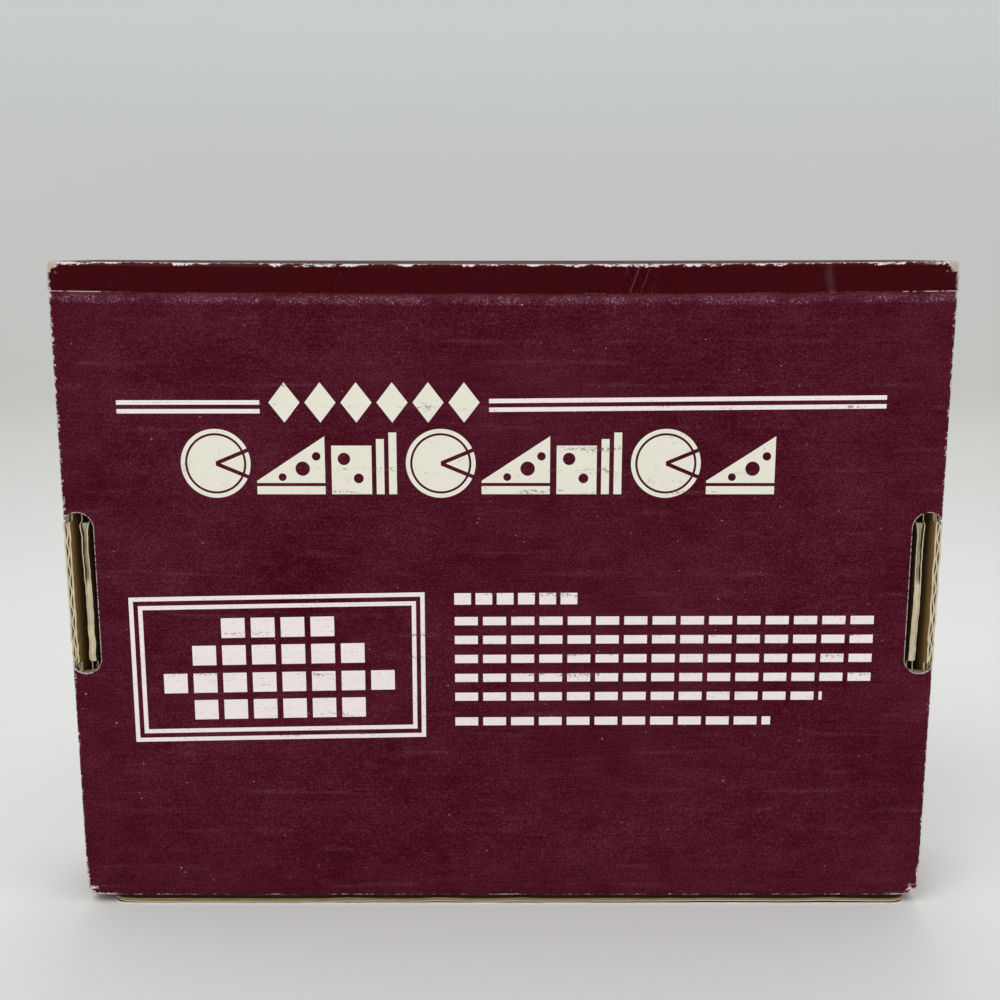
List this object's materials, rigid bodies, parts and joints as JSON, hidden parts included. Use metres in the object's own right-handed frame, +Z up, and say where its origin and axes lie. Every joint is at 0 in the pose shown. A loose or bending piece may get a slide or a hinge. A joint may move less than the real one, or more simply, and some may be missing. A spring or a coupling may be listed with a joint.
{
  "type": "boxed marble cheese slicer",
  "caption": "Flat printed carton of corrugated board, standing on its long edge, with a hinged lid; packed inside is a marble board with a pivoting wire cutter.",
  "frame": {"origin": "middle of the surface that the carton stands on", "axes": "+X along the carton's width, -Y the way the printed base panel faces, +Z up"},
  "size_m": [0.27, 0.0446, 0.2058],
  "materials": {
    "printed_board": "maroon litho print over B-flute board, scuffed satin",
    "kraft_board": "plain brown kraft liner, matte",
    "packing_board": "glued layers of corrugated board, raw cut edges",
    "tape": "clear aged packing tape, glossy",
    "marble": "polished white marble with grey veins",
    "foot_rubber": "matte black rubber",
    "rod_chrome": "bright chrome plate",
    "wire_steel": "drawn stainless steel",
    "nut_brass": "turned brass",
    "handle_wood": "turned and lacquered hardwood"
  },
  "bodies": {
    "tray": {"back_panel": "printed_board", "hinge_wall": "printed_board", "front_wall": "kraft_board", "side_wall_left": "printed_board", "side_wall_right": "printed_board", "roll_over_left": "kraft_board", "roll_over_right": "kraft_board", "dust_flap_top_left": "kraft_board", "dust_flap_top_right": "kraft_board", "dust_flap_bottom_left": "kraft_board", "dust_flap_bottom_right": "kraft_board", "sealing_tape": "tape", "insert_frame": "packing_board", "marble_board": "marble", "rubber_foot_front_left": "foot_rubber", "rubber_foot_front_right": "foot_rubber", "rubber_foot_rear_left": "foot_rubber", "rubber_foot_rear_right": "foot_rubber"},
    "lid": {"lid_panel": "printed_board"},
    "front_flap": {"lid_front_flap": "printed_board"},
    "cutter_arm": {"arm_rod": "rod_chrome", "rod_eye": "rod_chrome", "tension_stud": "wire_steel", "handle_washer": "rod_chrome", "cutting_wire": "wire_steel", "wire_sleeve": "wire_steel", "wire_barrel": "wire_steel"},
    "tension_handle": {"handle": "handle_wood", "handle_nut": "nut_brass"}
  },
  "joints": [
    {"name": "lid_hinge", "type": "hinge", "parent": "tray", "child": "lid", "pos_m": [0, 0.0209, 0.20435], "axis": [1, 0, 0], "range_deg": [0, 180]},
    {"name": "flap_crease", "type": "hinge", "parent": "lid", "child": "front_flap", "pos_m": [0, 0.0209, 0.00135], "axis": [1, 0, 0], "range_deg": [0, 90]},
    {"name": "arm_pivot", "type": "hinge", "parent": "tray", "child": "cutter_arm", "pos_m": [-0.0965, -0.00095, 0.1884], "axis": [1, 0, 0], "range_deg": [0, 90]},
    {"name": "handle_turn", "type": "hinge", "parent": "cutter_arm", "child": "tension_handle", "pos_m": [-0.0585, -0.00095, 0.0348], "axis": [0, 0, -1], "range_deg": [-900, 900]}
  ],
  "couplings": [
    {"joint": "arm_pivot", "follows": "lid_hinge", "ratio": 0.5}
  ]
}
